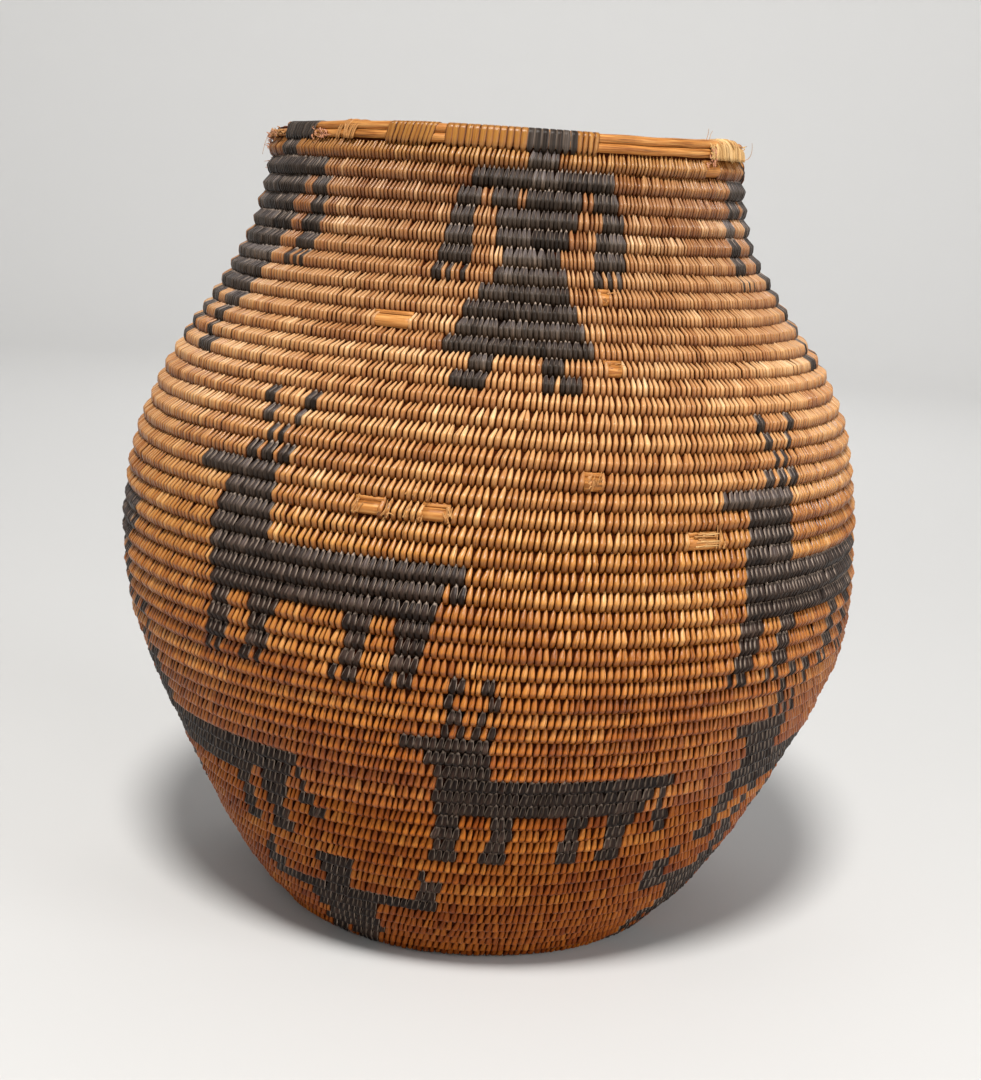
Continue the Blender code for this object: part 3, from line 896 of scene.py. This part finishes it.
def add_tubes(name, tubes, look):
    """One piece of several tubes, closed at their ends, with how far round and along each point is."""
    points, faces, around, reach, seed = [], [], [], [], []
    start = 0
    for number, (path, radius, sides) in enumerate(tubes):
        ring_points, ring_faces = tube(path, radius, sides)
        end = start + len(ring_points)
        faces += (ring_faces + start).tolist()
        faces.append(list(range(start + sides - 1, start - 1, -1)))
        faces.append(list(range(end - sides, end)))
        points.append(ring_points)
        steps = np.linalg.norm(np.diff(path, axis=0), axis=1)
        around.append(np.tile(np.abs(np.arange(sides) / sides - 0.5), len(path)))
        reach.append(np.repeat(np.concatenate([[0], np.cumsum(steps)]), sides))
        seed.append(np.full(end - start, number * TUBE_SEED_STEP % 1))
        start = end
    values = {"around": around, "reach": reach, "seed": seed}
    attributes = {key: np.concatenate(parts) for key, parts in values.items()}
    return add_piece(name, np.concatenate(points), faces, look, attributes)


def rim_turn(degrees):
    """The turn number of the rim coil at an angle from the front, the coil's end being the last."""
    return coil.turns - 1 + (degrees - math.degrees(COIL_END_ANGLE)) % 360 / 360


def rim_height_share(turn):
    """How much of its full height the worn rim keeps at these turns."""
    degrees = (np.asarray(turn) - coil.turns) * 360 + math.degrees(COIL_END_ANGLE)
    return np.interp(degrees, worn_rim_degrees, (1, worn_rim_share, worn_rim_share, 1))


def evenly_spaced(start, end, steps_per_turn):
    return np.linspace(start, end, max(3, math.ceil((end - start) * steps_per_turn)))


def rod_wave(turn, depth):
    return np.sin(turn * ROD_WAVE_RATE + depth * ROD_WAVE_SHIFT)


def rim_rod(start, end, depth, along):
    """The path and the radii of one of the rim coil's rods, each a little wavy in its own way."""
    turn = evenly_spaced(start, end, ROD_STEPS_PER_TURN)
    height = rim_height_share(turn)
    wave = ROD_WAVE * rod_wave(turn, depth) + ROD_RIPPLE * np.sin(turn * ROD_RIPPLE_RATE)
    swell = rod_swell_share * np.sin(turn * ROD_SWELL_RATE + depth * ROD_SWELL_SHIFT)
    radius = ROD_DIAMETER / 2 * height * (1 + swell)
    return coil.points(turn, (along + wave) * height, depth + wave), radius


def add_rim_rods():
    """The rim coil's three rods: two outside, one above the other, and one inside."""
    outside = ROD_COVER + ROD_DIAMETER / 2
    inside = outside + ROD_DIAMETER * math.sqrt(3) / 2
    low = RIM_SEAT + ROD_DIAMETER / 2
    high = low + ROD_DIAMETER * rod_nest_share
    middle = (low + high) / 2
    start, end = coil.turns - 1 + ROD_END_TURNS[0], coil.turns - ROD_END_TURNS[1]
    break_start, break_end = (rim_turn(degrees) for degrees in UPPER_ROD_BREAK)
    rods = (
        ("rim_lower_rod", "rim_rod_lower", start, end, outside, low),
        ("rim_inner_rod", "rim_rod_inner", start, end, inside, middle),
        ("rim_upper_rod_back", "rim_rod_upper_back", start, break_start, outside, high),
        ("rim_upper_rod_front", "rim_rod_upper_front", break_end, end, outside, high),
    )
    for name, node, first, last, depth, along in rods:
        path, radius = rim_rod(first, last, depth, along)
        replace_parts(add_tubes(name, [(path, radius, ROD_SIDES)], "rod"), node)
    # A dark filler behind and under the rods, painted near black as the shade between them
    turn = np.linspace(start, end, SHADE_FILLER_RINGS)
    height = rim_height_share(turn)
    low_shade_filler = coil.points(turn, 0 * height, WALL_THICKNESS / 2)
    shade_filler = coil.points(turn, middle * height, outside + SHADE_FILLER_RADIUS)
    tubes = [(low_shade_filler, LOW_SHADE_FILLER_RADIUS, SHADE_FILLER_SIDES), (shade_filler, SHADE_FILLER_RADIUS, SHADE_FILLER_SIDES)]
    add_tubes("rim_shade_filler", tubes, "foundation")


def rim_pads(turn, widths, leans):
    """Stitches over the rim's rods: up the outer face, over the top and down the inner face."""
    along, depth, width = (np.array(row)[None, :, None] for row in rim_stitch_shares)
    across = np.array(outer_across_shares)[None, None, :]
    middle_along, middle_depth = RIM_STITCH_HEIGHT * rim_middle_share, WALL_THICKNESS / 2
    shrink = 1 - RIM_EDGE_FALL / middle_depth * np.abs(across) ** edge_power
    depth = middle_depth + (depth * WALL_THICKNESS - middle_depth) * shrink
    along = middle_along + (along * RIM_STITCH_HEIGHT - middle_along) * shrink
    along = np.where(along > 0, along * per_stitch(rim_height_share(turn)), along)
    passed = np.linspace(0, 1, along.shape[1])[None, :, None]
    leaning = np.minimum(passed * 2, 1) - rim_lean_start_share
    sideways = per_stitch(leans) * leaning + across * width * per_stitch(widths) / 2
    return coil.points(per_stitch(turn), along, depth, sideways), passed, across


def add_rim_stitches(name, stretches, nodes, look):
    turns, pitches, leans = [], [], []
    for start, end, pitch, lean in stretches:
        step = pitch / (math.tau * RIM_RADIUS)
        count = round((end - start) / 360 / step)
        turns.append(rim_turn(start) + (np.arange(count) + 0.5) * (end - start) / 360 / count)
        pitches.append(np.full(count, pitch))
        leans.append(lean + STITCH_PITCH * chance.normal(0, rim_lean_spread_share, count))
    turn, pitch = np.concatenate(turns), np.concatenate(pitches)
    count = len(turn)
    turn = turn + chance.normal(0, rim_place_spread_share, count) * pitch / (math.tau * RIM_RADIUS)
    widths = pitch * chance.uniform(*rim_fill_range_shares, count)
    points, passed, across = rim_pads(turn, widths, np.concatenate(leans))
    along = np.interp(passed, rim_look_passed_shares, rim_look_along_shares)
    tone = np.clip(chance.normal(rim_tones[look], TONE_SPREAD, count), 0, 1)
    cells = cell_places(count, passed, across)
    piece = add_stitches(name, points, cells, along, across * rim_across_share, turn, tone, look)
    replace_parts(piece, *nodes)


def wrap_strand(turn, slant, lift, height_share):
    """The path of one strand that goes over the rim from its outer to its inner side."""
    swing = np.linspace(-WRAP_OVERRUN, math.pi + WRAP_OVERRUN, WRAP_RINGS)
    round_share = np.sign(np.cos(swing)) * np.abs(np.cos(swing)) ** wrap_arch_power
    depth = WALL_THICKNESS / 2 * (1 - round_share) - lift * round_share
    arch = np.clip(np.sin(swing), 0, 1) ** wrap_arch_power
    along = RIM_SEAT + (RIM_STITCH_HEIGHT + lift) * height_share * arch
    along = np.where(np.sin(swing) < 0, RIM_SEAT - WRAP_TUCK, along)
    along = np.where(along > 0, along * float(rim_height_share(turn)), along)
    sideways = slant * (swing / math.pi - wrap_slant_start_share)
    return coil.points(np.full(WRAP_RINGS, turn), along, depth, sideways)


def add_wrap(name, node, look, stretch, places, strands):
    """Strands over the rim, at places that are counted along a stretch of it."""
    count, slants, slant_spread, lifts, thicknesses, height_share, fall_share = strands
    first, last = (rim_turn(degrees) for degrees in stretch)
    tubes = []
    for i, place_in_row in enumerate(places):
        turn = first + (last - first) * place_in_row / count
        slant = chance.choice(slants) + chance.normal(0, slant_spread)
        fallen = smooth_step(i / count, wrap_fall_start_share, 1)
        path = wrap_strand(turn, slant, chance.uniform(*lifts), height_share - fall_share * fallen)
        tubes.append((path, chance.uniform(*thicknesses), WRAP_SIDES))
    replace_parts(add_tubes(name, tubes, look), node)


def add_rim():
    """The rim's rods, its stitches, the tuft of crossing splints and the straw-coloured repair."""
    add_rim_rods()
    add_rim_stitches("rim_willow_stitches", willow_rim_stretches, willow_rim_nodes, "willow")
    add_rim_stitches("rim_black_stitches", black_rim_stretches, black_rim_nodes, "black")
    places = (i + 0.5 for i in range(TUFT_STRANDS[0]))
    add_wrap("rim_tuft", "rim_sewing_tuft", "fray", TUFT_STRETCH, places, TUFT_STRANDS)
    places = (i + chance.uniform(*repair_place_shares) for i in range(REPAIR_STRANDS[0]))
    add_wrap("repair_wrap", "rim_repair_wrap", "straw", REPAIR_STRETCH, places, REPAIR_STRANDS)


def add_frays(name, places, look):
    """Loose fibres, each bent in its own way."""
    share = np.linspace(0, 1, FRAY_RINGS)
    strands = []
    for course, degrees, spread, low, high, count, side, rise, out, radius in places:
        for _ in range(count):
            at = degrees + chance.uniform(-spread, spread)
            turn = rim_turn(at) if course == 1 else coil.turn_at(course, at)
            bend = chance.normal(0, fray_bend_share, 3)
            sideways = side * chance.uniform(*fray_reach_shares) * share + abs(side) * bend[0] * share**2
            along = coil.course_height(turn) * chance.uniform(low, high)
            along = along + rise * chance.uniform(*fray_reach_shares) * share
            along = along + (abs(rise) + FRAY_BEND) * bend[1] * share**2
            arch = np.sin(share * FRAY_ARCH) + bend[2] * share**2
            lift = out * chance.uniform(*fray_lift_shares) * arch
            path = coil.points(np.full(FRAY_RINGS, turn), along, FRAY_SEAT - lift, sideways)
            thick = radius * chance.uniform(*fray_thickness_shares) * (1 - fray_taper_share * share)
            strands.append((path, thick, FIBRE_SIDES))
    add_tubes(name, strands, look)


def add_hairs():
    """Single hairs that stand off from the rim: each curves through a start, a middle and an end."""
    share = np.linspace(0, 1, HAIR_RINGS)[:, None]
    hairs = []
    for degrees, places in rim_hairs:
        start, middle, end = (np.array(place_at)[None, :] for place_at in places)
        pull = 2 * middle - (start + end) / 2
        curve = (1 - share) ** 2 * start + 2 * share * (1 - share) * pull + share**2 * end
        turn = np.full(HAIR_RINGS, rim_turn(degrees))
        path = coil.points(turn, curve[:, 1], -curve[:, 2], curve[:, 0])
        hairs.append((path, HAIR_RADIUS * (1 - hair_taper_share * share[:, 0]), FIBRE_SIDES))
    add_tubes("rim_hairs", hairs, "hair")


def add_bare_rods():
    """Rods that show where stitches are worn away."""
    rods = []
    for course, start, end in bare_places:
        first = coil.turn_at(course, start - bare_rod_overrun_degrees)
        last = coil.turn_at(course, end + bare_rod_overrun_degrees)
        turn = evenly_spaced(first, last, BARE_ROD_STEPS_PER_TURN)
        height = coil.course_height(first)
        for along_share, depth_share, radius_share in bare_rod_shares:
            depth = (depth_share + radius_share) * height
            wave = BARE_ROD_WAVE * rod_wave(turn, depth)
            path = coil.points(turn, along_share * height + wave, depth + wave)
            rods.append((path, height * radius_share, BARE_ROD_SIDES))
    add_tubes("bare_foundation_rods", rods, "rod")


class Nodes:
    """A material with a Principled shader, and short ways to add its nodes."""

    def __init__(self, name):
        self.material = bpy.data.materials.new(name)
        self.material.use_nodes = True
        self.tree = self.material.node_tree

    def fill(self, node, inputs):
        """Gives inputs of a node their values or links."""
        for key, value in inputs.items():
            if isinstance(value, bpy.types.NodeSocket):
                self.tree.links.new(value, node.inputs[key])
            else:
                node.inputs[key].default_value = value

    def add(self, kind, inputs, output, **settings):
        node = self.tree.nodes.new("ShaderNode" + kind)
        for key, value in settings.items():
            setattr(node, key, value)
        self.fill(node, inputs)
        return node.outputs[output]

    def attributes(self, *names):
        return [self.add("Attribute", {}, "Fac", attribute_name=name) for name in names]

    def math(self, operation, first, second=0.5, clamp=False):
        return self.add("Math", {0: first, 1: second}, 0, operation=operation, use_clamp=clamp)

    def share(self, value, start, length):
        """How far a value is past a start, as a share of a length, from 0 to 1."""
        return self.math("DIVIDE", self.math("SUBTRACT", value, start), length, True)

    def scaled(self, *pairs):
        """A vector of three values, each times its number."""
        parts = [self.math("MULTIPLY", value, scale) for value, scale in pairs]
        return self.add("CombineXYZ", dict(enumerate(parts)), 0)

    def noise(self, vector, scale, detail, roughness=0.5):
        inputs = {"Vector": vector, "Scale": scale, "Detail": detail, "Roughness": roughness}
        return self.add("TexNoise", inputs, "Fac")

    def ramp(self, value, stops):
        """A colour for each value. Each stop is a place with a colour or a grey tone."""
        node = self.tree.nodes.new("ShaderNodeValToRGB")
        self.fill(node, {0: value})
        elements = node.color_ramp.elements
        while len(elements) < len(stops):
            elements.new(0.5)
        for element, (stop, colour) in zip(elements, stops):
            element.position = stop
            element.color = (*colour, 1) if isinstance(colour, tuple) else (colour, colour, colour, 1)
        return node.outputs["Color"]

    def mix(self, share, first, second, blend="MIX"):
        return self.add("Mix", {0: share, 6: first, 7: second}, 2, data_type="RGBA", blend_type=blend)

    def tinted(self, colour, value, stops):
        return self.mix(1, colour, self.ramp(value, stops), "MULTIPLY")

    def bump(self, height, strength, distance):
        return self.add("Bump", {"Height": height, "Strength": strength, "Distance": distance}, "Normal")

    def finish(self, colour, roughness, specular=0.5, normal=None):
        inputs = {"Base Color": colour, "Roughness": roughness, "Specular IOR Level": specular}
        if normal is not None:
            inputs["Normal"] = normal
        self.fill(self.tree.nodes["Principled BSDF"], inputs)
        return self.material


def splint_material(name, levels, grain_and_sheen_tones, across_shade_stops, roughness, specular, edges):
    """Split wood splints: each stitch has its tone, with streaks and splits along it, and painted shade and
    highlights along and across it.
    """
    nodes = Nodes(name)
    tone, level, along, across, seed = nodes.attributes("tone", "level", "along", "across", "seed")
    ramps = [(height, nodes.ramp(tone, list(zip(tone_stops, tones)))) for height, tones in levels]
    colour = ramps[0][1]
    for (low, _), (high, tones) in zip(ramps, ramps[1:]):
        colour = nodes.mix(nodes.share(level, low, high - low), colour, tones)
    place_in_noise = nodes.scaled((across, 2.6), (along, 0.8), (seed, 90))
    streaks = nodes.noise(place_in_noise, scale=1.6, detail=3, roughness=0.65)
    colour = nodes.tinted(colour, streaks, list(zip(streak_stops, grain_and_sheen_tones)))
    # Painted shade at each stitch's lower end and a painted highlight on its upper half
    colour = nodes.tinted(colour, along, length_shade_and_highlight_stops)
    # Painted shade at each stitch's sides and a painted highlight in its middle
    from_middle = nodes.math("ABSOLUTE", across)
    colour = nodes.tinted(colour, from_middle, across_shade_stops)
    edge_start, tip_start, lower_share, upper_share, shade_and_cut_edge_colour = edges
    from_edge = nodes.share(from_middle, edge_start, 1 - edge_start)
    from_edge = nodes.math("MAXIMUM", from_edge, nodes.share(along, tip_start, tip_length_share))
    edge_shares = nodes.ramp(along, list(zip(edge_end_shares, (lower_share, upper_share))))
    # On willow, painted shade in the gaps between stitches; on black, the pale cut wood at the edges
    colour = nodes.mix(nodes.math("MULTIPLY", from_edge, edge_shares), colour, (*shade_and_cut_edge_colour, 1))
    split_seed = nodes.math("FRACT", nodes.math("MULTIPLY", seed, SPLIT_SEED_RATE))
    split_place = nodes.math("SUBTRACT", split_seed, 0.5)
    from_split = nodes.math("ABSOLUTE", nodes.math("SUBTRACT", across, split_place))
    has_split = nodes.math("GREATER_THAN", seed, least_split_seed)
    in_split = nodes.math("LESS_THAN", from_split, split_width_share)
    is_split = nodes.math("MULTIPLY", has_split, in_split)
    colour = nodes.mix(nodes.math("MULTIPLY", is_split, split_strength_share), colour, SPLIT_COLOUR)
    fibres = nodes.noise(nodes.scaled((across, 7), (along, 1), (seed, 50)), scale=1.8, detail=2)
    normal = nodes.bump(nodes.math("SUBTRACT", fibres, is_split), strength=0.35, distance=0.00012)
    return nodes.finish(colour, roughness, specular, normal)


def rod_material(name, colours, roughness):
    """A peeled rod or fibre, with long streaks and fine dark cracks."""
    nodes = Nodes(name)
    around, reach, seed = nodes.attributes("around", "reach", "seed")
    streak_place = nodes.scaled((around, 14), (reach, 60), (seed, 70))
    streaks = nodes.noise(streak_place, scale=1, detail=4, roughness=0.6)
    cracks = nodes.noise(nodes.scaled((around, 40), (reach, 45), (seed, 31)), scale=1, detail=2)
    colour = nodes.tinted(nodes.ramp(streaks, list(zip(rod_streak_stops, colours))), cracks, crack_stops)
    normal = nodes.bump(streaks, strength=0.3, distance=0.0002)
    return nodes.finish(colour, roughness, specular=0.22, normal=normal)


def shaded_foundation_material():
    """The foundation, painted with the dark shade that falls between the stitches."""
    nodes = Nodes("foundation")
    colour = nodes.ramp(*nodes.attributes("black"), foundation_shade_stops)
    return nodes.finish(colour, roughness=0.9, specular=0.05)


def make_looks():
    """The looks of the pieces: each a material and the slot it stands for."""
    willow = (willow_lit_and_shaded_levels, (0.66, 1, 1.14), willow_across_shade_stops)
    # The black stitches' light streaks, up to 2.4 times their colour, are grain and a painted sheen along
    # the fibres
    black = (black_lit_and_shaded_levels, (0.35, 1, 2.4), black_across_shade_stops)
    fray = rod_material("frayed_willow", fray_colours, 0.5)
    return {
        "willow": (splint_material("willow_splint", *willow, 0.31, 0.32, willow_edge_shade), "willow_splint"),
        "aged": (splint_material("aged_willow", *willow, 0.36, 0.16, willow_edge_shade), "aged_willow"),
        "black": (splint_material("black_splint", *black, 0.36, 0.12, black_edges), "black_splint"),
        "foundation": (shaded_foundation_material(), "aged_willow"),
        "rod": (rod_material("willow_rod", rod_colours, 0.45), "willow_rod"),
        "straw": (rod_material("straw_fibre", straw_colours, 0.5), "straw_fibre"),
        "fray": (fray, "willow_splint"),
        "hair": (fray, "straw_fibre"),
        "red": (rod_material("frayed_red_bark", red_colours, 0.55), "willow_splint"),
    }


def add_camera():
    """A camera that sees the rim's centre at its pixel, from its distance, pitch and roll."""
    level, pitch = math.cos(CAMERA_ROLL), CAMERA_PITCH
    ahead = Vector((math.sin(CAMERA_ROLL), level * math.cos(pitch), level * math.sin(pitch)))
    right = ahead.cross(Vector((0, 0, 1))).normalized()
    seen = Matrix((right, right.cross(ahead), -ahead)).transposed()
    rotation = (Matrix.Diagonal(Vector((1, -1, -1))) @ seen).transposed()
    x, y = (pixel - size / 2 for pixel, size in zip(RIM_PIXEL, (PHOTO_WIDTH, PHOTO_HEIGHT)))
    rim_seen = Vector((x / LENS_PIXELS, y / LENS_PIXELS, 1)) * RIM_DISTANCE
    location = Vector((0, 0, JAR_HEIGHT)) - seen.transposed() @ rim_seen
    data = bpy.data.cameras.new("camera")
    data.sensor_fit = "HORIZONTAL"
    data.sensor_width = SENSOR_WIDTH
    data.lens = SENSOR_WIDTH * LENS_PIXELS / PHOTO_WIDTH
    data.clip_start = CLIP_START
    camera = link_object("camera", data)
    camera.matrix_world = Matrix.Translation(location) @ rotation.to_4x4()
    bpy.context.scene.camera = camera


def add_lights():
    for name, stand, aim, width, power, colour in lights:
        data = bpy.data.lights.new(name, "AREA")
        data.shape = "DISK"
        data.size = width
        data.energy = power
        data.color = colour
        light = link_object(name, data)
        light.location = stand
        light.rotation_euler = (Vector(aim) - Vector(stand)).to_track_quat("-Z", "Y").to_euler()
    world = bpy.data.worlds.new("world")
    world.use_nodes = True
    background = world.node_tree.nodes["Background"]
    background.inputs["Color"].default_value = WORLD_COLOUR
    background.inputs["Strength"].default_value = WORLD_STRENGTH
    bpy.context.scene.world = world


def add_stage():
    """A pale floor that curves up into a wall all round."""
    swing = np.linspace(0, math.pi / 2, FLOOR_BEND_STEPS)
    profile = [(0, 0)]
    profile += [(FLOOR_RADIUS + FLOOR_BEND * math.sin(a), FLOOR_BEND * (1 - math.cos(a))) for a in swing]
    profile.append((FLOOR_RADIUS + FLOOR_BEND, WALL_TOP))
    around = np.linspace(0, math.tau, FLOOR_SIDES, endpoint=False)
    points = [(r * math.cos(a), r * math.sin(a), z) for r, z in profile for a in around]
    faces = []
    for start in range(0, len(points) - FLOOR_SIDES, FLOOR_SIDES):
        for i in range(FLOOR_SIDES):
            a, b = start + i, start + (i + 1) % FLOOR_SIDES
            faces.append((a, b, b + FLOOR_SIDES, a + FLOOR_SIDES))
    mesh = bpy.data.meshes.new("floor")
    mesh.from_pydata(points, [], faces)
    mesh.shade_smooth()
    mesh.materials.append(Nodes("floor").finish(FLOOR_COLOUR, roughness=0.8))
    link_object("floor", mesh)


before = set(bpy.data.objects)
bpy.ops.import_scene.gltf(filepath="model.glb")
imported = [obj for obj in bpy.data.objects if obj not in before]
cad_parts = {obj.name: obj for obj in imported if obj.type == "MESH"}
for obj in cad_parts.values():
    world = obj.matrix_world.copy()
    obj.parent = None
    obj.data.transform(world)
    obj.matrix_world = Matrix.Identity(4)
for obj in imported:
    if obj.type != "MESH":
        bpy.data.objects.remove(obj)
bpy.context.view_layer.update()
chance = np.random.default_rng(RANDOM_SEED)
coil = Coil(Outline())
looks = make_looks()
add_wall(Stitches())
add_foundation()
add_rim()
add_bare_rods()
add_frays("frayed_splints", willow_frays, "fray")
add_frays("frayed_straw", straw_frays, "straw")
add_frays("frayed_rim_end", red_frays, "red")
add_hairs()
add_camera()
add_lights()
add_stage()
bpy.context.scene.view_settings.view_transform = "Standard"
